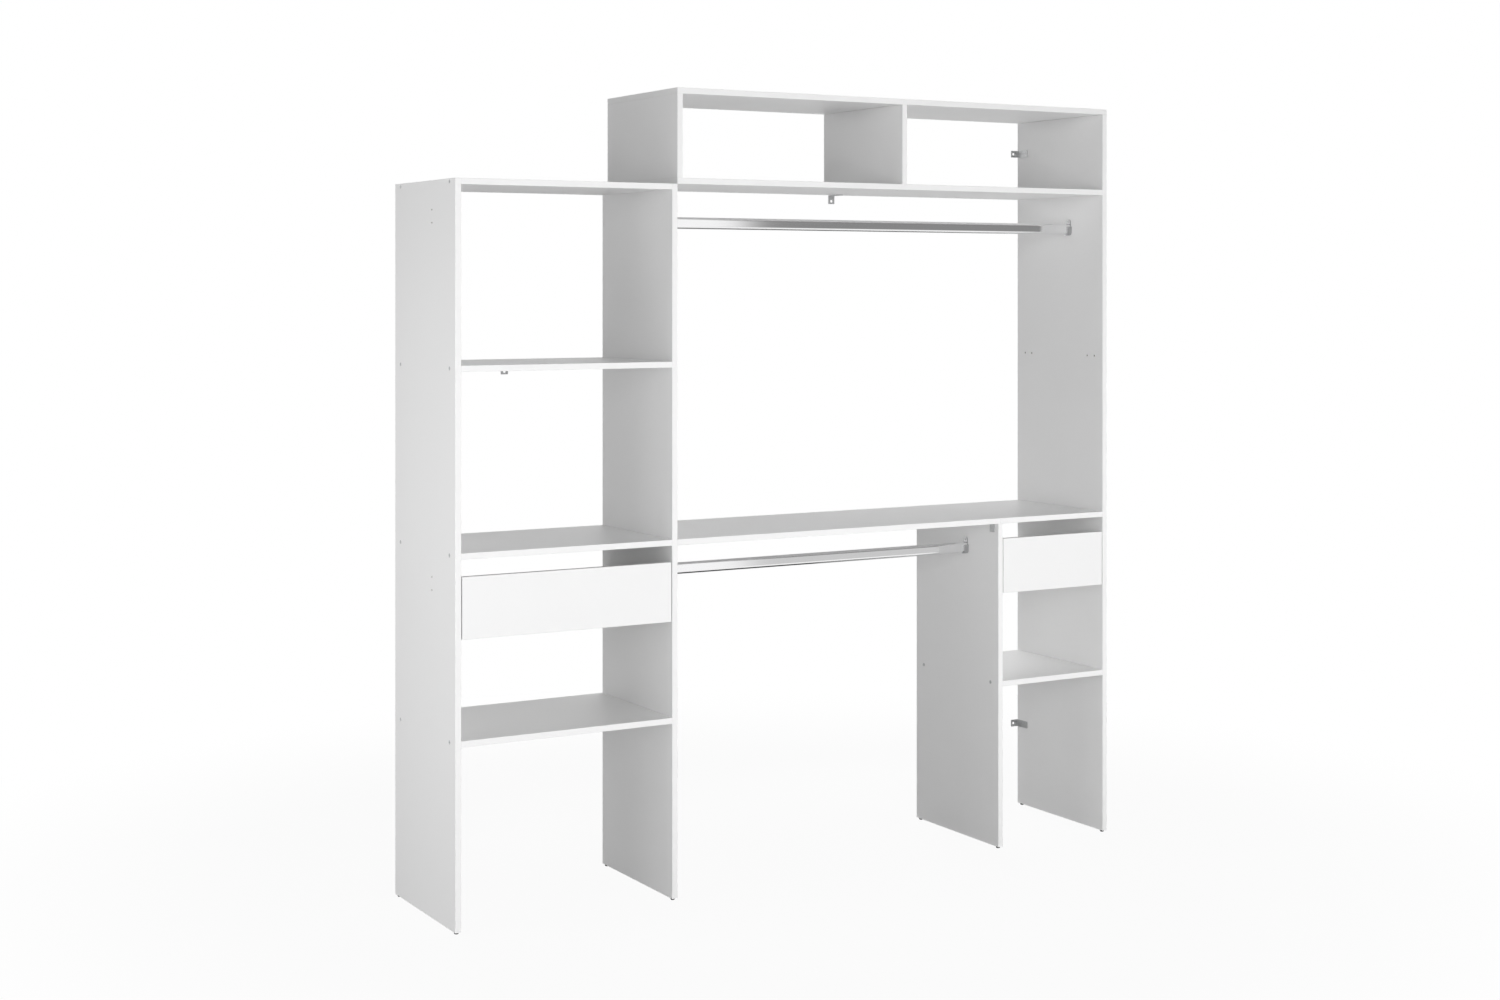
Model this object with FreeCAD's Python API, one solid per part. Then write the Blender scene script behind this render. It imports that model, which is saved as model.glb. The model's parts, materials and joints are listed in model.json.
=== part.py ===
import FreeCAD, Part
import math
import os
from collections import namedtuple

from FreeCAD import Matrix, Placement, Rotation, Vector

# Open frame wardrobe of white boards: a tall shelf column at the left, a long shelf on a low panel,
# a loft box across the top, two hanging rails and two handleless drawers.
# Millimetres. X runs left to right, Y front to back, Z up from the floor under the middle.

# Carcass boards
BOARD = 15.0             # thickness of every carcass board
BAND_ROUND = 0.8         # rounding of the edge bands
DEPTH = 396.0            # front edge to back edge
COLUMN_WIDTH = 600.0     # shelf column, over both of its side panels
COLUMN_HEIGHT = 1800.0   # side panels of the column
WIDE_BAY = 1000.0        # clear width between the column and the low panel
NARROW_BAY = 350.0       # clear width between the low panel and the right side
LOFT_HEIGHT = 243.0      # loft box, over its floor and its top board
SHELF_PITCH = 448.0      # from one shelf level down to the next

# Holes and screws in the boards
EDGE_ROW = 37.0          # screw rows, from the front and back edges
HOLE_PITCH = 32.0        # spacing of the drilled hole pairs
HOLE_D = 5.0             # unused drilled holes
HOLE_DEPTH = 11.0
SCREW_PLAY = 0.1         # radial air between a screw and its hole
PANEL_SCREW_HEAD = 10.0
PANEL_SCREW_NECK = 7.0
PANEL_SCREW_THREAD = 5.0
PANEL_SCREW_LENGTH = 50.0
SOCKET_WIDTH = 4.0       # hexagon socket in the panel screws, across corners
SOCKET_DEPTH = 2.5
CROSS_LENGTH = 3.4       # cross recess in the smaller screws
CROSS_WIDTH = 0.9
CROSS_DEPTH = 1.2
SHORT_SCREW_HEAD = 7.0
SHORT_SCREW_D = 3.5
SHORT_SCREW_LENGTH = 11.0
RAIL_SCREW_HEAD = 8.0
RAIL_SCREW_D = 5.0
RAIL_SCREW_LENGTH = 14.0
BOX_SCREW_LENGTH = 32.0  # screws through the drawer sides into the back

# Floor glides
GLIDE_D = 11.0
GLIDE_HEIGHT = 5.0
GLIDE_TAPER = 1.5        # how much narrower the glide's foot is, on each side
GLIDE_SETBACK = 12.0     # glide's centre from the panel's front and back edges
NAIL_D = 2.2
NAIL_LENGTH = 14.0

# Hanging rails and their end supports
RAIL_HEIGHT = 30.0       # flat-sided oval tube
RAIL_WIDTH = 15.0
RAIL_WALL = 1.0
RAIL_DROP = 94.0         # rail's middle below the shelf level that it hangs under
RAIL_SETBACK = 149.0     # rail's middle behind the front edges
RAIL_PLAY = 0.15         # air between the tube and its cup
RAIL_END_PLAY = 0.5      # air at each end of the tube
SUPPORT_PLATE = 3.0
SUPPORT_WALL = 2.35
SUPPORT_CUP = 12.0       # depth of the cup that the tube lies in
CUP_TOP = 8.0            # rim of the cup above the rail's middle
LOBE_RADIUS = 6.0
LOBE_HOLE = 22.5         # upper screw above the rail's middle

# Angle brackets
BRACKET_STEEL = 2.0
BRACKET_WIDTH = 20.0
BRACKET_LONG = 48.0
BRACKET_SHORT = 25.0
BRACKET_BEND = 1.0       # inner radius of the bend
BRACKET_CORNER = 2.0     # rounding of the leg ends
LONG_HOLES = (20.0, 38.0)    # screws in the long leg, from the corner
SHORT_HOLE = 17.0        # hole in the short leg, from the corner
WALL_HOLE_D = 8.0        # hole for a wall screw
SHELF_BRACKET_SETBACK = 27.0     # bracket's middle from the front and back edges
LOFT_BRACKET_SETBACK = 100.0
LOFT_WALL_BRACKET = 121.0    # above the loft floor
LOW_WALL_BRACKET = 239.0     # above the foot of the right side
DIVIDER_BRACKET_GAP = 9.0    # wall bracket's middle from the divider's right face

# Drawers
FRONT_HEIGHT = 150.0
FRONT_GAP = 2.5          # air at each side of a drawer front
FINGER_GAP = 41.5        # between a drawer front and the shelf above it
BOX_BOARD = 12.0         # drawer sides and back
BOX_HEIGHT = 85.0
BOX_RISE = 12.0          # box's lower edge above the front's lower edge
BACK_SPACE = 31.0        # behind the drawer
BOTTOM = 3.0             # hardboard bottom
GROOVE_DEPTH = 6.0
GROOVE_RISE = 8.0        # groove above the box's lower edge
GROOVE_PLAY = 0.2
BOX_SCREW_EDGE = 20.0    # screws from the upper and lower edges of the back
BOTTOM_SCREW_INSET = 60.0    # screws under the back, from its ends
CAM_D = 12.0
CAM_DEPTH = 9.5
CAM_INSET = 24.0         # cam's middle behind the drawer front
CAM_EDGE = 25.0          # cams from the box's upper and lower edges
CAM_CROSS_LENGTH = 7.0   # cross recess in the cam's face
CAM_CROSS_WIDTH = 1.4
CAM_CROSS_DEPTH = 1.8
CAM_BOLT_D = 5.0
CAM_BOLT_HOLD = 10.0     # bolt's thread in the drawer front
CAM_BOLT_END = 3.0       # bolt's end short of the cam's middle

# Roller runners
RUNNER_SPACE = 12.5      # between a panel and the drawer side
STEEL = 1.0              # runner sheet
RUNNER_PLAY = 1.5        # air between the fixed and the moving member
CHANNEL_START = 2.0      # channel's front end behind the drawer front
CHANNEL_PLAY = 3.0       # spare height in the channel over the roller
ROLLER_D = 20.0
ROLLER_WIDTH = 5.0
ROLLER_ROUND = 0.6       # rounding of the tread's two edges
ROLLER_GAP = 0.3         # air under a roller's tread
ROLLER_RISE = 1.0        # front roller's top above the channel
ROLLER_INSET = 13.0      # roller's middle from its member's end
AXLE_D = 5.0
AXLE_PLAY = 0.05
AXLE_HEAD_D = 8.0
AXLE_HEAD = 0.8
AXLE_SIDE_PLAY = 0.2     # air between a roller and its axle's head
SLIDE_HEIGHT = 22.3      # moving member, over both of its flanges
STOP_GAP = 0.5           # closed drawer's roller to the channel's end
RUNNER_SCREW_INSET = 60.0    # outer runner screws from the channel's ends
SLIDE_SCREW_RISE = 15.5  # slide's screws above the box's lower edge

TOLERANCE = 1e-6         # for picking edges by their length

AXIS_X = Vector(1, 0, 0)
AXIS_Y = Vector(0, 1, 0)
AXIS_Z = Vector(0, 0, 1)

# Planes of the boards
TOTAL_WIDTH = COLUMN_WIDTH + WIDE_BAY + NARROW_BAY + 2 * BOARD
FRONT = -DEPTH / 2
BACK = DEPTH / 2
FOOT = GLIDE_HEIGHT
LEFT_OUT = -TOTAL_WIDTH / 2
LEFT_IN = LEFT_OUT + BOARD
INNER_RIGHT = LEFT_OUT + COLUMN_WIDTH
INNER_LEFT = INNER_RIGHT - BOARD
LOW_LEFT = INNER_RIGHT + WIDE_BAY
LOW_RIGHT = LOW_LEFT + BOARD
RIGHT_IN = LOW_RIGHT + NARROW_BAY
RIGHT_OUT = RIGHT_IN + BOARD
LOW_MIDDLE = (LOW_LEFT + LOW_RIGHT) / 2
LOFT_LEFT = INNER_RIGHT
LOFT_MIDDLE = (LOFT_LEFT + BOARD + RIGHT_IN) / 2
COLUMN_MIDDLE = (LEFT_IN + INNER_LEFT) / 2

# Shelf levels, at the upper faces of the boards
COLUMN_TOP = FOOT + COLUMN_HEIGHT
UPPER_LEVEL = COLUMN_TOP - SHELF_PITCH
MIDDLE_LEVEL = UPPER_LEVEL - SHELF_PITCH
LOWER_LEVEL = MIDDLE_LEVEL - SHELF_PITCH
LOFT_FLOOR = COLUMN_TOP + BOARD
LOFT_TOP = COLUMN_TOP + LOFT_HEIGHT
SCREW_ROWS = (FRONT + EDGE_ROW, BACK - EDGE_ROW)

Screw = namedtuple("Screw", "head neck neck_length thread length")
PANEL_SCREW = Screw(PANEL_SCREW_HEAD, PANEL_SCREW_NECK, BOARD, PANEL_SCREW_THREAD, PANEL_SCREW_LENGTH)
SHORT_SCREW = Screw(SHORT_SCREW_HEAD, SHORT_SCREW_D, BRACKET_STEEL, SHORT_SCREW_D, SHORT_SCREW_LENGTH)
RAIL_SCREW = Screw(RAIL_SCREW_HEAD, RAIL_SCREW_D, SUPPORT_PLATE, RAIL_SCREW_D, RAIL_SCREW_LENGTH)
BOX_SCREW = Screw(SHORT_SCREW_HEAD, SHORT_SCREW_D, BOX_BOARD, SHORT_SCREW_D, BOX_SCREW_LENGTH)

nodes = {}      # node name to its solids
cuts = {}       # node name to the tools that are cut from its first solid


def add(name, solid):
    nodes.setdefault(name, []).append(solid)


def drill(name, tool):
    cuts.setdefault(name, []).append(tool)


def slab(x0, x1, y0, y1, z0, z1):
    """Box between two corners, given in any order."""
    low = Vector(min(x0, x1), min(y0, y1), min(z0, z1))
    return Part.makeBox(abs(x1 - x0), abs(y1 - y0), abs(z1 - z0), low)


def rod(diameter, start, direction, length):
    return Part.makeCylinder(diameter / 2, length, start, direction)


def aim(shape, point, direction):
    """Shape that was made along +Z at the origin, moved to a point and turned to a direction."""
    placed = shape.copy()
    placed.Placement = Placement(point, Rotation(AXIS_Z, direction))
    return placed


def screw_shape(kind, play=0.0):
    """Countersunk screw from its head's face along +Z, or its hole where it has play."""
    neck = kind.neck / 2 + play
    thread = kind.thread / 2 + play
    countersink = kind.head / 2 - neck
    end = kind.length + play
    outline = [(0, 0), (kind.head / 2, 0), (neck, countersink), (neck, kind.neck_length)]
    if thread < neck:
        outline.append((thread, kind.neck_length))
    outline += [(thread, end - kind.thread / 2), (0, end), (0, 0)]
    wire = Part.makePolygon([Vector(r, 0, z) for r, z in outline])
    return Part.Face(wire).revolve(Vector(), AXIS_Z, 360)


def hexagon_socket():
    corners = [Rotation(AXIS_Z, 60 * i).multVec(Vector(SOCKET_WIDTH / 2, 0, 0)) for i in range(7)]
    return Part.Face(Part.makePolygon(corners)).extrude(AXIS_Z * SOCKET_DEPTH)


def cross_recess(length, width, depth):
    """Two crossed slots, sunk along +Z from the origin."""
    slot = slab(-length / 2, length / 2, -width / 2, width / 2, 0, depth)
    return slot.fuse(slot.rotated(Vector(), AXIS_Z, 90)).removeSplitter()


def fasten(group, kind, point, direction, held):
    """Screw driven from a point, with its hole drilled in each node that it holds."""
    if kind is PANEL_SCREW:
        recess = hexagon_socket()
    else:
        recess = cross_recess(CROSS_LENGTH, CROSS_WIDTH, CROSS_DEPTH)
    add(group, aim(screw_shape(kind).cut(recess), point, direction))
    hole = screw_shape(kind, SCREW_PLAY)
    for name in held:
        drill(name, aim(hole, point, direction))


def banded(board):
    """Board with an edge band all round, whose edges are softened."""
    return board.makeFillet(BAND_ROUND, board.Edges)


def upright(name, x0, z0, z1):
    add(name, banded(slab(x0, x0 + BOARD, FRONT, BACK, z0, z1)))


def flat(name, x0, x1, top):
    add(name, banded(slab(x0, x1, FRONT, BACK, top - BOARD, top)))


def join_end(panel, face, direction, board, top):
    """Screws through a panel, from its face, into the end of a board."""
    for y in SCREW_ROWS:
        fasten("panel_screws", PANEL_SCREW, Vector(face, y, top - BOARD / 2), direction, (panel, board))


def join_upright(board, face, direction, panel, middle):
    """Screws through a flat board, from its face, into the end of an upright panel."""
    for y in SCREW_ROWS:
        fasten("panel_screws", PANEL_SCREW, Vector(middle, y, face), direction, (board, panel))


def make_column():
    upright("left_side_panel", LEFT_OUT, FOOT, COLUMN_TOP)
    upright("column_inner_panel", INNER_LEFT, FOOT, COLUMN_TOP)
    levels = {
        "column_top_board": COLUMN_TOP,
        "column_upper_shelf": UPPER_LEVEL,
        "column_middle_shelf": MIDDLE_LEVEL,
        "column_lower_shelf": LOWER_LEVEL,
    }
    for name, top in levels.items():
        flat(name, LEFT_IN, INNER_LEFT, top)
        join_end("left_side_panel", LEFT_OUT, AXIS_X, name, top)
        join_end("column_inner_panel", INNER_RIGHT, -AXIS_X, name, top)


def make_right_bays():
    """Low panel, right side, the long shelf in two boards that meet over the low panel, low shelf."""
    upright("low_panel", LOW_LEFT, FOOT, MIDDLE_LEVEL - BOARD)
    upright("right_side_panel", RIGHT_IN, FOOT, LOFT_TOP - BOARD)
    flat("long_shelf", INNER_RIGHT, LOW_MIDDLE, MIDDLE_LEVEL)
    flat("long_shelf_extension", LOW_MIDDLE, RIGHT_IN, MIDDLE_LEVEL)
    flat("right_lower_shelf", LOW_RIGHT, RIGHT_IN, LOWER_LEVEL)
    join_end("right_side_panel", RIGHT_OUT, -AXIS_X, "long_shelf_extension", MIDDLE_LEVEL)
    join_end("right_side_panel", RIGHT_OUT, -AXIS_X, "right_lower_shelf", LOWER_LEVEL)
    join_end("low_panel", LOW_LEFT, AXIS_X, "right_lower_shelf", LOWER_LEVEL)


def make_loft():
    """Box across the top: its floor butts the right side, its top board covers the uprights."""
    flat("loft_floor", LOFT_LEFT, RIGHT_IN, LOFT_FLOOR)
    flat("loft_top_board", LOFT_LEFT, RIGHT_OUT, LOFT_TOP)
    upright("loft_left_panel", LOFT_LEFT, LOFT_FLOOR, LOFT_TOP - BOARD)
    upright("loft_divider", LOFT_MIDDLE - BOARD / 2, LOFT_FLOOR, LOFT_TOP - BOARD)
    join_end("right_side_panel", RIGHT_OUT, -AXIS_X, "loft_floor", LOFT_FLOOR)
    for name, middle in (("loft_left_panel", LOFT_LEFT + BOARD / 2), ("loft_divider", LOFT_MIDDLE)):
        join_upright("loft_floor", COLUMN_TOP, AXIS_Z, name, middle)
        join_upright("loft_top_board", LOFT_TOP, -AXIS_Z, name, middle)
    join_upright("loft_top_board", LOFT_TOP, -AXIS_Z, "right_side_panel", RIGHT_IN + BOARD / 2)


def drill_unused_holes():
    """Rail holes on the outer face of the left side, and shelf holes on the right side's inner face."""
    rail_y = FRONT + RAIL_SETBACK
    for level in (COLUMN_TOP, MIDDLE_LEVEL):
        for rise in (LOBE_HOLE, LOBE_HOLE - HOLE_PITCH):
            start = Vector(LEFT_OUT, rail_y, level - RAIL_DROP + rise)
            drill("left_side_panel", rod(HOLE_D, start, AXIS_X, HOLE_DEPTH))
    front_row, back_row = SCREW_ROWS
    for y in (front_row, front_row + HOLE_PITCH, back_row - HOLE_PITCH, back_row):
        start = Vector(RIGHT_IN, y, UPPER_LEVEL - BOARD / 2)
        drill("right_side_panel", rod(HOLE_D, start, AXIS_X, HOLE_DEPTH))


def make_glides():
    """Nailed plastic glides under the front and back of each upright panel."""
    foot_radius = GLIDE_D / 2 - GLIDE_TAPER
    glide = Part.makeCone(foot_radius, GLIDE_D / 2, GLIDE_TAPER)
    glide = glide.fuse(Part.makeCylinder(GLIDE_D / 2, GLIDE_HEIGHT - GLIDE_TAPER, AXIS_Z * GLIDE_TAPER))
    glide = glide.fuse(rod(NAIL_D, AXIS_Z * GLIDE_HEIGHT, AXIS_Z, NAIL_LENGTH)).removeSplitter()
    panels = {
        "left_side_panel": LEFT_OUT,
        "column_inner_panel": INNER_LEFT,
        "low_panel": LOW_LEFT,
        "right_side_panel": RIGHT_IN,
    }
    for name, x0 in panels.items():
        for y in (FRONT + GLIDE_SETBACK, BACK - GLIDE_SETBACK):
            place = Vector(x0 + BOARD / 2, y, 0)
            add("floor_glides", aim(glide, place, AXIS_Z))
            nail = place + AXIS_Z * FOOT
            drill(name, rod(NAIL_D + 2 * SCREW_PLAY, nail, AXIS_Z, NAIL_LENGTH + SCREW_PLAY))


def oval(width, height, x0, length):
    """Flat-sided oval bar along +X, round the X axis."""
    radius = width / 2
    flat_end = height / 2 - radius
    corners = [Vector(x0, y, z) for y, z in
               ((-radius, -flat_end), (radius, -flat_end), (radius, flat_end), (-radius, flat_end))]
    low = Part.Arc(corners[0], Vector(x0, 0, -height / 2), corners[1]).toShape()
    high = Part.Arc(corners[2], Vector(x0, 0, height / 2), corners[3]).toShape()
    front = Part.LineSegment(corners[1], corners[2]).toShape()
    back = Part.LineSegment(corners[3], corners[0]).toShape()
    return Part.Face(Part.Wire([low, front, high, back])).extrude(AXIS_X * length)


def rail_support():
    """End support at the origin, with its back on the plane X = 0 and its cup towards +X."""
    inner_width = RAIL_WIDTH + 2 * RAIL_PLAY
    inner_height = RAIL_HEIGHT + 2 * RAIL_PLAY
    outer_width = inner_width + 2 * SUPPORT_WALL
    outer_height = inner_height + 2 * SUPPORT_WALL
    reach = SUPPORT_PLATE + SUPPORT_CUP
    body = oval(outer_width, outer_height, 0, reach)
    body = body.cut(oval(inner_width, inner_height, SUPPORT_PLATE, reach))
    body = body.cut(slab(0, reach, -outer_width, outer_width, CUP_TOP, outer_height))
    lobe = rod(2 * LOBE_RADIUS, AXIS_Z * LOBE_HOLE, AXIS_X, SUPPORT_PLATE)
    neck = slab(0, SUPPORT_PLATE, -LOBE_RADIUS, LOBE_RADIUS, 0, LOBE_HOLE)
    body = body.fuse([lobe, neck]).removeSplitter()
    for rise in (LOBE_HOLE, LOBE_HOLE - HOLE_PITCH):
        hole = screw_shape(RAIL_SCREW, SCREW_PLAY)
        body = body.cut(aim(hole, Vector(SUPPORT_PLATE, 0, rise), -AXIS_X))
    return body


def make_rail(name, level, left_face, left_panel, right_face, right_panel):
    """Oval tube below a shelf level, in a cup at each end."""
    middle = Vector(0, FRONT + RAIL_SETBACK, level - RAIL_DROP)
    start = left_face + SUPPORT_PLATE + RAIL_END_PLAY
    length = right_face - SUPPORT_PLATE - RAIL_END_PLAY - start
    tube = oval(RAIL_WIDTH, RAIL_HEIGHT, start, length)
    bore = oval(RAIL_WIDTH - 2 * RAIL_WALL, RAIL_HEIGHT - 2 * RAIL_WALL, start, length)
    add(name, tube.cut(bore).translated(middle))
    ends = ((left_face, AXIS_X, left_panel), (right_face, -AXIS_X, right_panel))
    for face, inward, panel in ends:
        support = rail_support()
        turn = 0 if inward.x > 0 else 180
        support.Placement = Placement(middle + AXIS_X * face, Rotation(AXIS_Z, turn))
        add(name + "_supports", support)
        for rise in (LOBE_HOLE, LOBE_HOLE - HOLE_PITCH):
            head = middle + AXIS_X * face + inward * SUPPORT_PLATE + AXIS_Z * rise
            fasten("rail_screws", RAIL_SCREW, head, -inward, (panel,))


def angle_bracket(group, corner, along, away, board, panel=None):
    """Steel angle: its long leg lies on a board, its short leg on a panel or on the wall behind."""
    turn = BRACKET_BEND + BRACKET_STEEL
    lean = turn * (1 - math.sqrt(0.5))
    inner_lean = turn - BRACKET_BEND * math.sqrt(0.5)
    half = BRACKET_WIDTH / 2
    outline = [(turn, 0), (BRACKET_LONG, 0), (BRACKET_LONG, BRACKET_STEEL), (turn, BRACKET_STEEL),
               (BRACKET_STEEL, turn), (BRACKET_STEEL, BRACKET_SHORT), (0, BRACKET_SHORT), (0, turn)]
    points = [Vector(-half, y, z) for y, z in outline]
    edges = [Part.LineSegment(points[i], points[i + 1]).toShape() for i in (0, 1, 2, 4, 5, 6)]
    edges.insert(3, Part.Arc(points[3], Vector(-half, inner_lean, inner_lean), points[4]).toShape())
    edges.append(Part.Arc(points[7], Vector(-half, lean, lean), points[0]).toShape())
    angle = Part.Face(Part.Wire(edges)).extrude(AXIS_X * BRACKET_WIDTH)
    leg_ends = [edge for edge in angle.Edges if abs(edge.Length - BRACKET_STEEL) < TOLERANCE]
    angle = angle.makeFillet(BRACKET_CORNER, leg_ends)

    across = along.cross(away)
    frame = Placement(Matrix(across.x, along.x, away.x, corner.x,
                             across.y, along.y, away.y, corner.y,
                             across.z, along.z, away.z, corner.z,
                             0, 0, 0, 1))
    screws = [(Vector(0, y, BRACKET_STEEL), -AXIS_Z, board) for y in LONG_HOLES]
    short_hole = Vector(0, BRACKET_STEEL, SHORT_HOLE)
    if panel:
        screws.append((short_hole, -AXIS_Y, panel))
    else:
        angle = angle.cut(rod(WALL_HOLE_D, short_hole, -AXIS_Y, BRACKET_STEEL))
    for point, direction, held in screws:
        angle = angle.cut(aim(screw_shape(SHORT_SCREW, SCREW_PLAY), point, direction))
        head = frame.multVec(point)
        fasten("short_screws", SHORT_SCREW, head, frame.Rotation.multVec(direction), (held,))
    angle.Placement = frame
    add(group, angle)


def make_brackets():
    """Wall brackets at the back, and the brackets that tie the long shelf and the loft to the panels."""
    wall = {
        "wall_bracket_column": (COLUMN_MIDDLE, UPPER_LEVEL - BOARD, -AXIS_Z, "column_upper_shelf"),
        "wall_bracket_loft_floor": (LOFT_MIDDLE + DIVIDER_BRACKET_GAP + BOARD / 2, COLUMN_TOP, -AXIS_Z,
                                    "loft_floor"),
        "wall_bracket_loft_side": (RIGHT_IN, LOFT_FLOOR + LOFT_WALL_BRACKET, -AXIS_X, "right_side_panel"),
        "wall_bracket_right_side": (RIGHT_IN, FOOT + LOW_WALL_BRACKET, -AXIS_X, "right_side_panel"),
    }
    for name, (x, z, away, board) in wall.items():
        angle_bracket(name, Vector(x, BACK, z), -AXIS_Y, away, board)

    shelf_under = MIDDLE_LEVEL - BOARD
    first_row = SHELF_BRACKET_SETBACK
    second_row = SHELF_BRACKET_SETBACK + HOLE_PITCH
    ties = (
        ("long_shelf", shelf_under, first_row, "column_inner_panel", INNER_RIGHT, AXIS_X),
        ("long_shelf", shelf_under, first_row, "low_panel", LOW_LEFT, -AXIS_X),
        ("long_shelf_extension", shelf_under, second_row, "low_panel", LOW_RIGHT, AXIS_X),
        ("loft_floor", COLUMN_TOP, LOFT_BRACKET_SETBACK, "column_inner_panel", INNER_RIGHT, AXIS_X),
    )
    for board, z, setback, panel, x, along in ties:
        group = "loft_brackets" if board == "loft_floor" else "shelf_brackets"
        for y in (FRONT + setback, BACK - setback):
            angle_bracket(group, Vector(x, y, z), along, -AXIS_Z, board, panel)


def roller_at(x, y, z):
    """Nylon roller on the X axis, with its middle at a point."""
    start = Vector(x - ROLLER_WIDTH / 2, y, z)
    wheel = rod(ROLLER_D, start, AXIS_X, ROLLER_WIDTH)
    rims = [edge for edge in wheel.Edges if edge.isClosed()]
    bore = rod(AXLE_D + 2 * AXLE_PLAY, start, AXIS_X, ROLLER_WIDTH)
    return wheel.makeFillet(ROLLER_ROUND, rims).cut(bore)


def axle(root, inward, roller_x, y, z):
    """Riveted pin with a head, from its member's face through a roller."""
    length = abs(roller_x - root) + ROLLER_WIDTH / 2 + AXLE_SIDE_PLAY
    pin = rod(AXLE_D, Vector(root, y, z), inward, length)
    head = rod(AXLE_HEAD_D, Vector(root, y, z) + inward * length, inward, AXLE_HEAD)
    return pin.fuse(head)


def make_runner(drawer, hand, face, inward, panel, low):
    """Fixed channel with a front roller, and slide with a rear roller, at one side of a drawer."""
    channel = f"{drawer}_{hand}_channel"
    slide = f"{drawer}_{hand}_slide"
    box_side = f"{drawer}_{hand}_side"
    box_front = FRONT + BOARD
    box_back = BACK - BACK_SPACE
    flange_top = low - STEEL + SLIDE_HEIGHT
    channel_top = flange_top - STEEL - ROLLER_GAP - ROLLER_RISE
    channel_low = channel_top - 2 * STEEL - ROLLER_D - CHANNEL_PLAY
    channel_front = box_front + CHANNEL_START
    front_axle = channel_front + ROLLER_INSET
    rear_axle = box_back - ROLLER_INSET
    channel_back = rear_axle + ROLLER_D / 2 + STOP_GAP + STEEL
    front_axle_z = channel_top + ROLLER_RISE - ROLLER_D / 2
    rear_axle_z = channel_low + STEEL + ROLLER_GAP + ROLLER_D / 2
    floor_reach = RUNNER_SPACE - STEEL - RUNNER_PLAY
    lip_reach = floor_reach - RUNNER_PLAY
    lip_front = front_axle + ROLLER_D / 2 + RUNNER_PLAY

    def x(distance):
        return face + inward.x * distance

    roller_x = x(RUNNER_SPACE / 2)
    web = slab(x(0), x(STEEL), channel_front, channel_back, channel_low, channel_top)
    floor = slab(x(0), x(floor_reach), channel_front, channel_back, channel_low, channel_low + STEEL)
    lip = slab(x(0), x(lip_reach), lip_front, channel_back, channel_top - STEEL, channel_top)
    stop = slab(x(0), x(lip_reach), channel_back - STEEL, channel_back, channel_low, channel_top)
    front_pin = axle(x(0), inward, roller_x, front_axle, front_axle_z)
    add(channel, web.fuse([floor, lip, stop, front_pin]).removeSplitter())
    add(f"{drawer}_{hand}_front_roller", roller_at(roller_x, front_axle, front_axle_z))

    flange_edge = x(STEEL + RUNNER_PLAY)
    wall = slab(x(RUNNER_SPACE - STEEL), x(RUNNER_SPACE), box_front, box_back, low - STEEL, flange_top)
    flange = slab(flange_edge, x(RUNNER_SPACE), box_front, box_back, flange_top - STEEL, flange_top)
    seat = slab(x(RUNNER_SPACE), x(RUNNER_SPACE + BOX_BOARD), box_front, box_back, low - STEEL, low)
    rear_pin = axle(x(RUNNER_SPACE), -inward, roller_x, rear_axle, rear_axle_z)
    add(slide, wall.fuse([flange, seat, rear_pin]).removeSplitter())
    add(f"{drawer}_{hand}_rear_roller", roller_at(roller_x, rear_axle, rear_axle_z))

    channel_middle = (channel_low + channel_top) / 2
    screw_front = channel_front + RUNNER_SCREW_INSET
    screw_back = channel_back - RUNNER_SCREW_INSET
    for y in (screw_front, (screw_front + screw_back) / 2, screw_back):
        head = Vector(x(STEEL), y, channel_middle)
        fasten("short_screws", SHORT_SCREW, head, -inward, (channel, panel))
        head = Vector(x(RUNNER_SPACE - STEEL), y, low + SLIDE_SCREW_RISE)
        fasten(f"{drawer}_screws", SHORT_SCREW, head, inward, (slide, box_side))


def make_cams(drawer, hand, inner_face, inward, low):
    """Cam discs in a drawer side, each on a bolt that stands in the drawer front."""
    box_front = FRONT + BOARD
    bolt_x = inner_face - inward.x * BOX_BOARD / 2
    bolt_length = CAM_BOLT_HOLD + CAM_INSET - CAM_BOLT_END
    for z in (low + CAM_EDGE, low + BOX_HEIGHT - CAM_EDGE):
        bolt_start = Vector(bolt_x, box_front - CAM_BOLT_HOLD, z)
        bolt = rod(CAM_BOLT_D, bolt_start, AXIS_Y, bolt_length)
        bolt_hole = rod(CAM_BOLT_D + 2 * SCREW_PLAY, bolt_start, AXIS_Y, bolt_length + SCREW_PLAY)
        cam_start = Vector(inner_face, box_front + CAM_INSET, z)
        cam_hole = rod(CAM_D + 2 * SCREW_PLAY, cam_start, -inward, CAM_DEPTH)
        recess = aim(cross_recess(CAM_CROSS_LENGTH, CAM_CROSS_WIDTH, CAM_CROSS_DEPTH), cam_start, -inward)
        add(f"{drawer}_cam_fittings", rod(CAM_D, cam_start, -inward, CAM_DEPTH).cut([bolt_hole, recess]))
        add(f"{drawer}_cam_fittings", bolt)
        drill(f"{drawer}_{hand}_side", bolt_hole.fuse(cam_hole))
        drill(f"{drawer}_front", bolt_hole)


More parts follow.
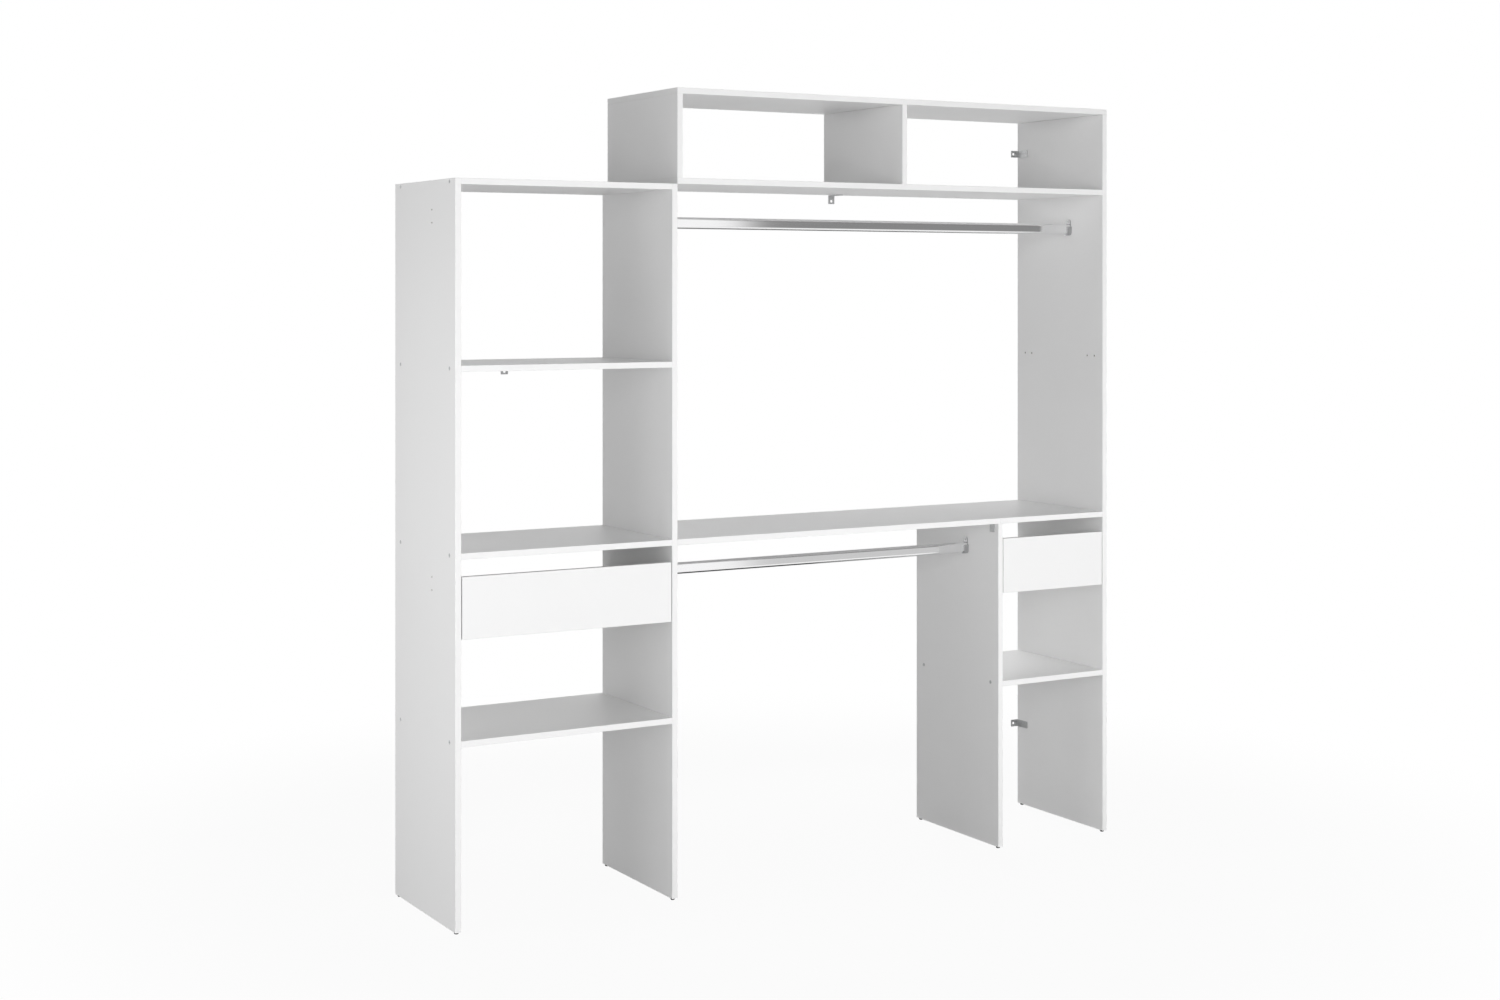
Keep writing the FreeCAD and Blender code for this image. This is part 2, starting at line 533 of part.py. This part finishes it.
def make_drawer(drawer, left_face, left_panel, right_face, right_panel):
    """Handleless drawer under the middle shelf level, on a roller runner at each side."""
    front_top = MIDDLE_LEVEL - BOARD - FINGER_GAP
    front_low = front_top - FRONT_HEIGHT
    low = front_low + BOX_RISE
    high = low + BOX_HEIGHT
    groove_low = low + GROOVE_RISE
    bottom_top = groove_low + BOTTOM
    box_front = FRONT + BOARD
    box_back = BACK - BACK_SPACE
    left_in = left_face + RUNNER_SPACE + BOX_BOARD
    right_in = right_face - RUNNER_SPACE - BOX_BOARD
    hands = (
        ("left", left_face, AXIS_X, left_panel, left_in),
        ("right", right_face, -AXIS_X, right_panel, right_in),
    )

    front = slab(left_face + FRONT_GAP, right_face - FRONT_GAP, FRONT, box_front, front_low, front_top)
    add(f"{drawer}_front", banded(front))
    add(f"{drawer}_back", slab(left_in, right_in, box_back - BOX_BOARD, box_back, bottom_top, high))
    overlap = GROOVE_DEPTH - GROOVE_PLAY
    add(f"{drawer}_bottom", slab(left_in - overlap, right_in + overlap, box_front - overlap, box_back,
                                 groove_low, bottom_top))
    groove = slab(left_in - GROOVE_DEPTH, right_in + GROOVE_DEPTH, box_front - GROOVE_DEPTH, box_back,
                  groove_low, bottom_top + GROOVE_PLAY)
    drill(f"{drawer}_front", groove)

    for hand, face, inward, panel, inner_face in hands:
        side = f"{drawer}_{hand}_side"
        outer_face = face + inward.x * RUNNER_SPACE
        add(side, slab(outer_face, inner_face, box_front, box_back, low, high))
        drill(side, groove)
        make_runner(drawer, hand, face, inward, panel, low)
        make_cams(drawer, hand, inner_face, inward, low)
        back_middle = box_back - BOX_BOARD / 2
        for z in (bottom_top + BOX_SCREW_EDGE, high - BOX_SCREW_EDGE):
            head = Vector(outer_face, back_middle, z)
            fasten(f"{drawer}_screws", BOX_SCREW, head, inward, (side, f"{drawer}_back"))
        head = Vector(inner_face + inward.x * BOTTOM_SCREW_INSET, back_middle, groove_low)
        fasten(f"{drawer}_screws", SHORT_SCREW, head, AXIS_Z, (f"{drawer}_bottom", f"{drawer}_back"))


def export():
    os.makedirs("parts", exist_ok=True)
    for name, solids in nodes.items():
        if name in cuts:
            solids[0] = solids[0].cut(cuts[name])
        shape = solids[0] if len(solids) == 1 else Part.makeCompound(solids)
        shape.exportStep(f"parts/{name}.step")
        print(name, len(shape.Solids), "solids", round(shape.Volume / 1000, 2), "cm3", shape.isValid())
    print(len(nodes), "nodes")


make_column()
make_right_bays()
make_loft()
drill_unused_holes()
make_glides()
make_rail("upper_rail", COLUMN_TOP, INNER_RIGHT, "column_inner_panel", RIGHT_IN, "right_side_panel")
make_rail("lower_rail", MIDDLE_LEVEL, INNER_RIGHT, "column_inner_panel", LOW_LEFT, "low_panel")
make_brackets()
make_drawer("column_drawer", LEFT_IN, "left_side_panel", INNER_LEFT, "column_inner_panel")
make_drawer("right_drawer", LOW_RIGHT, "low_panel", RIGHT_IN, "right_side_panel")
export()
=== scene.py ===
import json
import math

import bpy
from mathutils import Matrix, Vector


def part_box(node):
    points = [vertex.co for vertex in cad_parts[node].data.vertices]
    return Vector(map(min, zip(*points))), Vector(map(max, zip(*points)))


# Open frame wardrobe: finishes of its boards and fittings, a pale studio and the photograph's view.
# Metres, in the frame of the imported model: +Z up, the open front towards -Y.

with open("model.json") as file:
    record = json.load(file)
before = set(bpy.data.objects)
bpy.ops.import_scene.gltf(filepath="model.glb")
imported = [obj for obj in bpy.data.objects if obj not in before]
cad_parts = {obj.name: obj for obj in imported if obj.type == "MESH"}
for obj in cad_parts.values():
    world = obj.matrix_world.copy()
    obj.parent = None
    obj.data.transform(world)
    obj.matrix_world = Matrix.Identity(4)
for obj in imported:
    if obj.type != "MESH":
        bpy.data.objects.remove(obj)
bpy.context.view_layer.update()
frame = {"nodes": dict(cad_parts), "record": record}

# Photograph's view
CAMERA_PLACE = (-2.9967, -5.0560, 1.5435)
CAMERA_YAW = 30.114         # degrees towards +X
CAMERA_LENS = 52.51         # millimetres on a 36 mm sensor
CAMERA_SHIFT = -0.1417      # the horizon stands above the middle of the picture

# Build of the coated boards
BAND = 0.0008               # thickness of an edge band
SEAM = 0.0002               # width of the glue line beside it
SKIN = 0.0004               # depth from which a bore shows the bare core

# Studio
FLOOR_SIZE = 60.0
FLOOR_WHITE = 0.60          # what the floor throws back at the object
FLOOR_SHADE = 0.06          # share of the floor's own shading in the picture, near the feet
SHADE_NEAR = 1.2            # distance from the middle up to which it holds
SHADE_FAR = 2.6             # and where it has faded to plain white
FILL = 0.13                 # world light that reaches the boards


# Node tools

def place(tree, kind, inputs=None, **settings):
    """New node with its settings, and with values on its named input sockets."""
    node = tree.nodes.new(kind)
    for key, value in settings.items():
        setattr(node, key, value)
    for key, value in (inputs or {}).items():
        node.inputs[key].default_value = value
    return node


def join(tree, source, target):
    tree.links.new(source, target)


def math_node(tree, operation, first, second=None, third=None):
    """Math node whose operands are sockets or numbers; returns its value."""
    node = place(tree, "ShaderNodeMath", operation=operation)
    for slot, operand in zip(node.inputs, (first, second, third)):
        if isinstance(operand, (int, float)):
            slot.default_value = operand
        elif operand is not None:
            join(tree, operand, slot)
    return node.outputs["Value"]


def vector_node(tree, operation, first, second=None):
    """Vector math node whose operands are sockets; returns its vector."""
    node = place(tree, "ShaderNodeVectorMath", operation=operation)
    for slot, operand in zip(node.inputs, (first, second)):
        if operand is not None:
            join(tree, operand, slot)
    return node.outputs["Vector"]


def split_vector(tree, vector):
    node = place(tree, "ShaderNodeSeparateXYZ")
    join(tree, vector, node.inputs["Vector"])
    return node.outputs


def new_group(name, inputs, outputs):
    """Shader node group with float, vector or colour inputs; returns it with its two ends."""
    group = bpy.data.node_groups.new(name, "ShaderNodeTree")
    for socket, value in inputs.items():
        if isinstance(value, float):
            kind = "NodeSocketFloat"
        else:
            kind = "NodeSocketVector" if len(value) == 3 else "NodeSocketColor"
        group.interface.new_socket(socket, in_out="INPUT", socket_type=kind).default_value = value
    for socket, kind in outputs.items():
        group.interface.new_socket(socket, in_out="OUTPUT", socket_type=kind)
    return group, group.nodes.new("NodeGroupInput").outputs, group.nodes.new("NodeGroupOutput").inputs


def use_group(tree, group, values=None):
    node = place(tree, "ShaderNodeGroup", node_tree=group)
    for key, value in (values or {}).items():
        node.inputs[key].default_value = value
    return node


# Shared effects

PEBBLE_SHARE = 0.7          # height of the pebbles beside that of the clouds
NOISE_MEAN = 0.5            # middle of a noise's values and of a crystal's tones


def pearl_emboss_group():
    """Fine pebbled emboss of pressed melamine, foil and powder coat."""
    group, given, result = new_group(
        "pearl emboss",
        {"Grain": 0.0009, "Roughness": 0.4, "Spread": 0.08},
        {"Height": "NodeSocketFloat", "Roughness": "NodeSocketFloat"})
    where = place(group, "ShaderNodeTexCoord").outputs["Object"]
    scale = math_node(group, "DIVIDE", 1.0, given["Grain"])
    pebbles = place(group, "ShaderNodeTexVoronoi", feature="SMOOTH_F1")
    clouds = place(group, "ShaderNodeTexNoise", {"Detail": 2.0})
    for texture in (pebbles, clouds):
        join(group, where, texture.inputs["Vector"])
        join(group, scale, texture.inputs["Scale"])
    cloud = clouds.outputs["Fac"]
    height = math_node(group, "MULTIPLY_ADD", pebbles.outputs["Distance"], PEBBLE_SHARE, cloud)
    join(group, height, result["Height"])
    drift = math_node(group, "SUBTRACT", cloud, NOISE_MEAN)
    roughness = math_node(group, "MULTIPLY_ADD", drift, given["Spread"], given["Roughness"])
    join(group, roughness, result["Roughness"])
    return group


def tone_drift_group():
    """Faint large clouds that keep a broad face from being one flat tone."""
    group, given, result = new_group(
        "tone drift",
        {"Colour": (0.8, 0.8, 0.8, 1.0), "Patch": 0.4, "Amount": 0.03},
        {"Colour": "NodeSocketColor"})
    where = place(group, "ShaderNodeTexCoord").outputs["Object"]
    clouds = place(group, "ShaderNodeTexNoise", {"Detail": 3.0, "Roughness": 0.6})
    join(group, where, clouds.inputs["Vector"])
    join(group, math_node(group, "DIVIDE", 1.0, given["Patch"]), clouds.inputs["Scale"])
    drift = math_node(group, "SUBTRACT", clouds.outputs["Fac"], NOISE_MEAN)
    level = math_node(group, "MULTIPLY_ADD", drift, given["Amount"], 1.0)
    tint = place(group, "ShaderNodeVectorMath", operation="SCALE")
    join(group, given["Colour"], tint.inputs[0])
    join(group, level, tint.inputs["Scale"])
    join(group, tint.outputs["Vector"], result["Colour"])
    return group


def board_build_group():
    """What shows of a coated board's build: the core inside its bores, the glue lines of its bands."""
    group, given, result = new_group(
        "board build",
        {"Middle": (0.0, 0.0, 0.0), "Half": (0.1, 0.1, 0.1), "Banded": (1.0, 1.0, 1.0)},
        {"Core": "NodeSocketFloat", "Seam": "NodeSocketFloat"})
    where = place(group, "ShaderNodeTexCoord").outputs["Object"]
    offset = vector_node(group, "ABSOLUTE", vector_node(group, "SUBTRACT", where, given["Middle"]))
    depths = split_vector(group, vector_node(group, "SUBTRACT", given["Half"], offset))
    least = math_node(group, "MINIMUM", math_node(group, "MINIMUM", depths["X"], depths["Y"]), depths["Z"])
    join(group, math_node(group, "GREATER_THAN", least, SKIN), result["Core"])
    seam = 0.0
    for depth, banded in zip(depths, split_vector(group, given["Banded"])):
        off = math_node(group, "ABSOLUTE", math_node(group, "SUBTRACT", depth, BAND))
        line = math_node(group, "MULTIPLY", math_node(group, "LESS_THAN", off, SEAM / 2), banded)
        seam = math_node(group, "MAXIMUM", seam, line)
    join(group, seam, result["Seam"])
    return group


def drawn_lines_group():
    """Fine lines along X that drawing and polishing leave on a tube."""
    group, given, result = new_group(
        "drawn lines",
        {"Pitch": 0.0008, "Length": 0.15, "Roughness": 0.08, "Spread": 0.05},
        {"Height": "NodeSocketFloat", "Roughness": "NodeSocketFloat"})
    where = place(group, "ShaderNodeTexCoord").outputs["Object"]
    across = math_node(group, "DIVIDE", 1.0, given["Pitch"])
    along = math_node(group, "DIVIDE", 1.0, given["Length"])
    stretch = place(group, "ShaderNodeCombineXYZ")
    join(group, along, stretch.inputs["X"])
    join(group, across, stretch.inputs["Y"])
    join(group, across, stretch.inputs["Z"])
    spot = place(group, "ShaderNodeVectorMath", operation="MULTIPLY")
    join(group, where, spot.inputs[0])
    join(group, stretch.outputs["Vector"], spot.inputs[1])
    lines = place(group, "ShaderNodeTexNoise", {"Scale": 1.0, "Detail": 2.0})
    join(group, spot.outputs["Vector"], lines.inputs["Vector"])
    join(group, lines.outputs["Fac"], result["Height"])
    drift = math_node(group, "SUBTRACT", lines.outputs["Fac"], NOISE_MEAN)
    roughness = math_node(group, "MULTIPLY_ADD", drift, given["Spread"], given["Roughness"])
    join(group, roughness, result["Roughness"])
    return group


def zinc_spangle_group():
    """Patchy crystals of a zinc plating, in tone and in gloss."""
    group, given, result = new_group(
        "zinc spangle",
        {"Colour": (0.6, 0.6, 0.6, 1.0), "Crystal": 0.0012, "Contrast": 0.3,
         "Roughness": 0.35, "Spread": 0.2},
        {"Colour": "NodeSocketColor", "Roughness": "NodeSocketFloat", "Height": "NodeSocketFloat"})
    where = place(group, "ShaderNodeTexCoord").outputs["Object"]
    crystals = place(group, "ShaderNodeTexVoronoi")
    join(group, where, crystals.inputs["Vector"])
    join(group, math_node(group, "DIVIDE", 1.0, given["Crystal"]), crystals.inputs["Scale"])
    facet = place(group, "ShaderNodeSeparateColor")
    join(group, crystals.outputs["Color"], facet.inputs["Color"])
    tone = math_node(group, "SUBTRACT", facet.outputs["Red"], NOISE_MEAN)
    gloss = math_node(group, "SUBTRACT", facet.outputs["Green"], NOISE_MEAN)
    level = math_node(group, "MULTIPLY_ADD", tone, given["Contrast"], 1.0)
    tint = place(group, "ShaderNodeVectorMath", operation="SCALE")
    join(group, given["Colour"], tint.inputs[0])
    join(group, level, tint.inputs["Scale"])
    join(group, tint.outputs["Vector"], result["Colour"])
    roughness = math_node(group, "MULTIPLY_ADD", gloss, given["Spread"], given["Roughness"])
    join(group, roughness, result["Roughness"])
    join(group, crystals.outputs["Distance"], result["Height"])
    return group


PEARL_EMBOSS = pearl_emboss_group()
TONE_DRIFT = tone_drift_group()
BOARD_BUILD = board_build_group()
DRAWN_LINES = drawn_lines_group()
ZINC_SPANGLE = zinc_spangle_group()


# Finishes

WHITE = (0.91, 0.91, 0.91)
SEAM_TONE = (0.73, 0.73, 0.73)
CORE_TONE = (0.30, 0.27, 0.23)
BOX_WHITE = (0.88, 0.88, 0.875)
HARDBOARD_WHITE = (0.82, 0.82, 0.81)
RUNNER_WHITE = (0.82, 0.82, 0.815)
NYLON = (0.80, 0.80, 0.77)
CHROME = (0.91, 0.91, 0.915)
CAST_CHROME = (0.50, 0.50, 0.51)
ZINC = (0.62, 0.625, 0.63)
DARK_PLASTIC = (0.035, 0.035, 0.037)
PEARL_DEPTH = 0.00006       # emboss of sheets and coats
PEARL_STRENGTH = 0.5
PEARL_SPECULAR = 0.45
TUBE_DEPTH = 0.00002        # drawn lines of the chrome tube
TUBE_STRENGTH = 0.15
CAST_DEPTH = 0.00003        # mould skin of the castings
CAST_STRENGTH = 0.2
CAST_SKIN = {"Grain": 0.0016, "Roughness": 0.2, "Spread": 0.1}
CAST_CLOUDS = {"Patch": 0.006, "Amount": 0.1}
ZINC_DEPTH = 0.00003        # crystals of the zinc
ZINC_STRENGTH = 0.2
ZINC_ROUGHNESS = 0.6

# Pearl finishes: grain in metres, roughness, drift of the tone
MELAMINE = (0.0009, 0.42, 0.02)
FOIL = (0.0006, 0.5, 0.03)
HARDBOARD_PAINT = (0.0014, 0.55, 0.05)
RUNNER_COAT = (0.0005, 0.35, 0.03)
ROLLER_SKIN = (0.0007, 0.45, 0.04)
GLIDE_SKIN = (0.0004, 0.5, 0.1)


def new_finish(name, constants):
    """Material with a Principled BSDF; constants go on the shader's own sockets."""
    material = bpy.data.materials.new(name)
    material.use_nodes = True
    tree = material.node_tree
    tree.nodes.clear()
    shader = place(tree, "ShaderNodeBsdfPrincipled", constants)
    output = place(tree, "ShaderNodeOutputMaterial")
    join(tree, shader.outputs["BSDF"], output.inputs["Surface"])
    return material, tree, shader.inputs


def emboss(tree, surface, height, depth, strength):
    bump = place(tree, "ShaderNodeBump", {"Strength": strength, "Distance": depth})
    join(tree, height, bump.inputs["Height"])
    join(tree, bump.outputs["Normal"], surface["Normal"])


def pearl_coat(name, colour, grain, roughness, drift):
    """Sheet, coat or moulding with a fine pebbled emboss."""
    material, tree, surface = new_finish(name, {"Specular IOR Level": PEARL_SPECULAR})
    pearl = use_group(tree, PEARL_EMBOSS, {"Grain": grain, "Roughness": roughness})
    tone = use_group(tree, TONE_DRIFT, {"Colour": (*colour, 1.0), "Amount": drift})
    join(tree, tone.outputs["Colour"], surface["Base Color"])
    join(tree, pearl.outputs["Roughness"], surface["Roughness"])
    emboss(tree, surface, pearl.outputs["Height"], PEARL_DEPTH, PEARL_STRENGTH)
    return material, tree, surface


def lay_over(tree, socket, mask, colour):
    """Another colour over the one that feeds a socket, where a mask says."""
    mix = place(tree, "ShaderNodeMix", data_type="RGBA")
    join(tree, mask, mix.inputs["Factor"])
    join(tree, socket.links[0].from_socket, mix.inputs["A"])
    mix.inputs["B"].default_value = (*colour, 1.0)
    join(tree, mix.outputs["Result"], socket)


def coated_board(node):
    """Melamine board with an edge band round its rim and bare core in its bores."""
    material, tree, surface = pearl_coat(node + "_melamine", WHITE, *MELAMINE)
    low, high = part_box(node)
    half = (high - low) / 2
    banded = [0.0 if extent == min(half) else 1.0 for extent in half]
    build = use_group(tree, BOARD_BUILD, {"Middle": (low + high) / 2, "Half": half, "Banded": banded})
    lay_over(tree, surface["Base Color"], build.outputs["Seam"], SEAM_TONE)
    lay_over(tree, surface["Base Color"], build.outputs["Core"], CORE_TONE)
    return material


def chrome_tube():
    material, tree, surface = new_finish("chrome_plate", {"Base Color": (*CHROME, 1.0), "Metallic": 1.0})
    lines = use_group(tree, DRAWN_LINES)
    join(tree, lines.outputs["Roughness"], surface["Roughness"])
    emboss(tree, surface, lines.outputs["Height"], TUBE_DEPTH, TUBE_STRENGTH)
    return material


def chrome_casting():
    """Plated casting, less even than the tube: the skin of the mould shows through the plate."""
    material, tree, surface = new_finish("cast_chrome_plate", {"Metallic": 1.0})
    skin = use_group(tree, PEARL_EMBOSS, CAST_SKIN)
    tone = use_group(tree, TONE_DRIFT, {"Colour": (*CAST_CHROME, 1.0), **CAST_CLOUDS})
    join(tree, tone.outputs["Colour"], surface["Base Color"])
    join(tree, skin.outputs["Roughness"], surface["Roughness"])
    emboss(tree, surface, skin.outputs["Height"], CAST_DEPTH, CAST_STRENGTH)
    return material


def zinc_steel():
    material, tree, surface = new_finish("zinc_plate", {"Metallic": 1.0})
    zinc = use_group(tree, ZINC_SPANGLE, {"Colour": (*ZINC, 1.0), "Roughness": ZINC_ROUGHNESS})
    join(tree, zinc.outputs["Colour"], surface["Base Color"])
    join(tree, zinc.outputs["Roughness"], surface["Roughness"])
    emboss(tree, surface, zinc.outputs["Height"], ZINC_DEPTH, ZINC_STRENGTH)
    return material


# Finishes by the record's slots; each coated board has a finish of its own
FINISHES = {
    "drawer_board": pearl_coat("box_foil", BOX_WHITE, *FOIL)[0],
    "white_hardboard": pearl_coat("hardboard_paint", HARDBOARD_WHITE, *HARDBOARD_PAINT)[0],
    "chrome_tube": chrome_tube(),
    "chrome_casting": chrome_casting(),
    "zinc_steel": zinc_steel(),
    "coated_runner": pearl_coat("runner_coat", RUNNER_WHITE, *RUNNER_COAT)[0],
    "roller_nylon": pearl_coat("roller_nylon", NYLON, *ROLLER_SKIN)[0],
    "dark_plastic": pearl_coat("glide_plastic", DARK_PLASTIC, *GLIDE_SKIN)[0],
}

for part in frame["record"]["subparts"]:
    node = part["node"]
    slot = part["material_slot"]
    finish = coated_board(node) if slot == "white_board" else FINISHES[slot]
    for face_slot in frame["nodes"][node].material_slots:
        face_slot.material = finish


# Studio

def seen_ray(tree):
    """1 for camera, glossy and transmission rays, 0 for the rays that light the object."""
    path = place(tree, "ShaderNodeLightPath")
    seen = math_node(tree, "MAXIMUM", path.outputs["Is Camera Ray"], path.outputs["Is Glossy Ray"])
    return math_node(tree, "MAXIMUM", seen, path.outputs["Is Transmission Ray"])


def make_world():
    world = bpy.data.worlds.new("studio")
    world.use_nodes = True
    tree = world.node_tree
    tree.nodes.clear()
    fill = place(tree, "ShaderNodeBackground", {"Color": (1.0, 1.0, 1.0, 1.0), "Strength": FILL})
    white = place(tree, "ShaderNodeBackground", {"Color": (1.0, 1.0, 1.0, 1.0), "Strength": 1.0})
    mix = place(tree, "ShaderNodeMixShader")
    join(tree, seen_ray(tree), mix.inputs["Fac"])
    join(tree, fill.outputs["Background"], mix.inputs[1])
    join(tree, white.outputs["Background"], mix.inputs[2])
    output = place(tree, "ShaderNodeOutputWorld")
    join(tree, mix.outputs["Shader"], output.inputs["Surface"])
    bpy.context.scene.world = world


def sheet(name, corners):
    """Flat stage sheet with four corners."""
    mesh = bpy.data.meshes.new(name)
    mesh.from_pydata(corners, [], [(0, 1, 2, 3)])
    flat = bpy.data.objects.new(name, mesh)
    bpy.context.scene.collection.objects.link(flat)
    return flat


def stage_material(flat, name):
    material = bpy.data.materials.new(name)
    material.use_nodes = True
    tree = material.node_tree
    tree.nodes.clear()
    output = place(tree, "ShaderNodeOutputMaterial")
    flat.data.materials.append(material)
    return tree, output.inputs["Surface"]


def ramp(tree, value, start, end, low, high):
    """Smooth step of a value from one level to another; returns the level."""
    node = place(tree, "ShaderNodeMapRange", interpolation_type="SMOOTHSTEP",
                 inputs={"From Min": start, "From Max": end, "To Min": low, "To Max": high})
    join(tree, value, node.inputs["Value"])
    return node.outputs["Result"]


def make_floor():
    """White floor that keeps a soft shadow round the feet and runs out into the white background."""
    half = FLOOR_SIZE / 2
    floor = sheet("floor", [(-half, -half, 0), (half, -half, 0), (half, half, 0), (-half, half, 0)])
    tree, surface = stage_material(floor, "floor_white")
    matt = place(tree, "ShaderNodeBsdfDiffuse", {"Color": (FLOOR_WHITE, FLOOR_WHITE, FLOOR_WHITE, 1.0)})
    white = place(tree, "ShaderNodeEmission", {"Strength": 1.0})
    where = place(tree, "ShaderNodeTexCoord")
    away = place(tree, "ShaderNodeVectorMath", operation="LENGTH")
    join(tree, where.outputs["Object"], away.inputs[0])
    plain = ramp(tree, away.outputs["Value"], SHADE_NEAR, SHADE_FAR, 1.0 - FLOOR_SHADE, 1.0)
    mix = place(tree, "ShaderNodeMixShader")
    join(tree, math_node(tree, "MULTIPLY", seen_ray(tree), plain), mix.inputs["Fac"])
    join(tree, matt.outputs["BSDF"], mix.inputs[1])
    join(tree, white.outputs["Emission"], mix.inputs[2])
    join(tree, mix.outputs["Shader"], surface)


# Glowing grey sheets that paint reflections: only the metal and the gloss of the boards reflect them, and
# they neither light nor shade anything; one stands at the front right
FLAG_Y = -4.0
FLAG_LEFT = 2.05
FLAG_RIGHT = 6.5
FLAG_FOOT = 0.02
FLAG_TOP = 4.0
FLAG_LOWER = 0.3            # height up to which it is light
FLAG_UPPER = 1.5            # height from which it is dark
FLAG_LIGHT = 0.62
FLAG_DARK = 0.26
FLAG_FADE = 0.25            # width over which its left edge runs out
# and one lies over the floor, from before the wide bay to far behind it, and paints a dark reflection of
# the floor
MAT_LEFT = -0.4
MAT_RIGHT = 6.0
MAT_NEAR = -0.55
MAT_FAR = 6.0
MAT_LIFT = 0.015
MAT_DARK = 0.06
MAT_FADE = 1.0              # length over which its far edge runs out


def new_reflection_sheet(name, corners):
    """Glowing sheet that takes no part but in reflections, where it is painted reflection; returns its
    tree, its surface and its coordinates.
    """
    flag = sheet(name, corners)
    flag.visible_camera = False
    flag.visible_diffuse = False
    flag.visible_shadow = False
    flag.visible_transmission = False
    tree, surface = stage_material(flag, name)
    where = split_vector(tree, place(tree, "ShaderNodeTexCoord").outputs["Object"])
    return tree, surface, where


def glow(tree, surface, level):
    light = place(tree, "ShaderNodeEmission")
    join(tree, level, light.inputs["Color"])
    join(tree, light.outputs["Emission"], surface)


# Painted reflection: a glow that is light low down and dark higher up, and runs out at its left edge
def make_standing_reflection_sheet():
    tree, surface, where = new_reflection_sheet("standing_reflection_sheet", [
        (FLAG_LEFT, FLAG_Y, FLAG_FOOT), (FLAG_RIGHT, FLAG_Y, FLAG_FOOT),
        (FLAG_RIGHT, FLAG_Y, FLAG_TOP), (FLAG_LEFT, FLAG_Y, FLAG_TOP)])
    level = ramp(tree, where["Z"], FLAG_LOWER, FLAG_UPPER, FLAG_LIGHT, FLAG_DARK)
    inside = ramp(tree, where["X"], FLAG_LEFT, FLAG_LEFT + FLAG_FADE, 0.0, 1.0)
    darkening = math_node(tree, "SUBTRACT", level, 1.0)
    glow(tree, surface, math_node(tree, "MULTIPLY_ADD", darkening, inside, 1.0))


# Painted dark reflection of the floor, running out to white at its far edge
def make_lying_reflection_sheet():
    tree, surface, where = new_reflection_sheet("lying_reflection_sheet", [
        (MAT_LEFT, MAT_NEAR, MAT_LIFT), (MAT_RIGHT, MAT_NEAR, MAT_LIFT),
        (MAT_RIGHT, MAT_FAR, MAT_LIFT), (MAT_LEFT, MAT_FAR, MAT_LIFT)])
    glow(tree, surface, ramp(tree, where["Y"], MAT_FAR - MAT_FADE, MAT_FAR, MAT_DARK, 1.0))


# Softboxes: place, point aimed at, width, height, watts
SOFTBOXES = {
    "front_softbox": ((-1.3, -5.0, 1.5), (-0.5, 0.0, 1.3), 2.6, 3.0, 156.0),
    "left_softbox": ((-2.5, -0.3, 1.15), (-1.0, -0.2, 1.15), 2.0, 2.1, 19.3),
    "right_softbox": ((1.6, -2.5, 0.9), (0.8, 0.0, 0.7), 1.2, 1.2, 17.8),
    "rear_softbox": ((1.5, 2.2, 0.8), (0.8, 0.0, 0.8), 1.4, 1.2, 10.0),
    "rear_high_softbox": ((1.2, 1.8, 1.7), (0.7, 0.0, 0.9), 1.2, 0.8, 9.0),
    "rear_near_softbox": ((0.9, 0.9, 0.75), (0.8, 0.0, 0.6), 0.8, 0.8, 2.8),
    "top_softbox": ((0.7, 0.0, 4.0), (0.7, 0.0, 0.0), 1.3, 0.4, 17.0),
}


def make_softboxes():
    for name, (spot, target, width, height, watts) in SOFTBOXES.items():
        light = bpy.data.lights.new(name, "AREA")
        light.shape = "RECTANGLE"
        light.size = width
        light.size_y = height
        light.energy = watts
        box = bpy.data.objects.new(name, light)
        box.location = spot
        box.rotation_euler = (Vector(target) - Vector(spot)).to_track_quat("-Z", "Y").to_euler()
        box.visible_camera = False
        box.visible_glossy = False
        bpy.context.scene.collection.objects.link(box)


def make_camera():
    data = bpy.data.cameras.new("photo_camera")
    data.lens = CAMERA_LENS
    data.shift_y = CAMERA_SHIFT
    camera = bpy.data.objects.new("photo_camera", data)
    camera.location = CAMERA_PLACE
    camera.rotation_euler = (math.radians(90), 0, math.radians(-CAMERA_YAW))
    bpy.context.scene.collection.objects.link(camera)
    bpy.context.scene.camera = camera


make_world()
make_floor()
make_standing_reflection_sheet()
make_lying_reflection_sheet()
make_softboxes()
make_camera()
bpy.context.scene.view_settings.view_transform = "Standard"
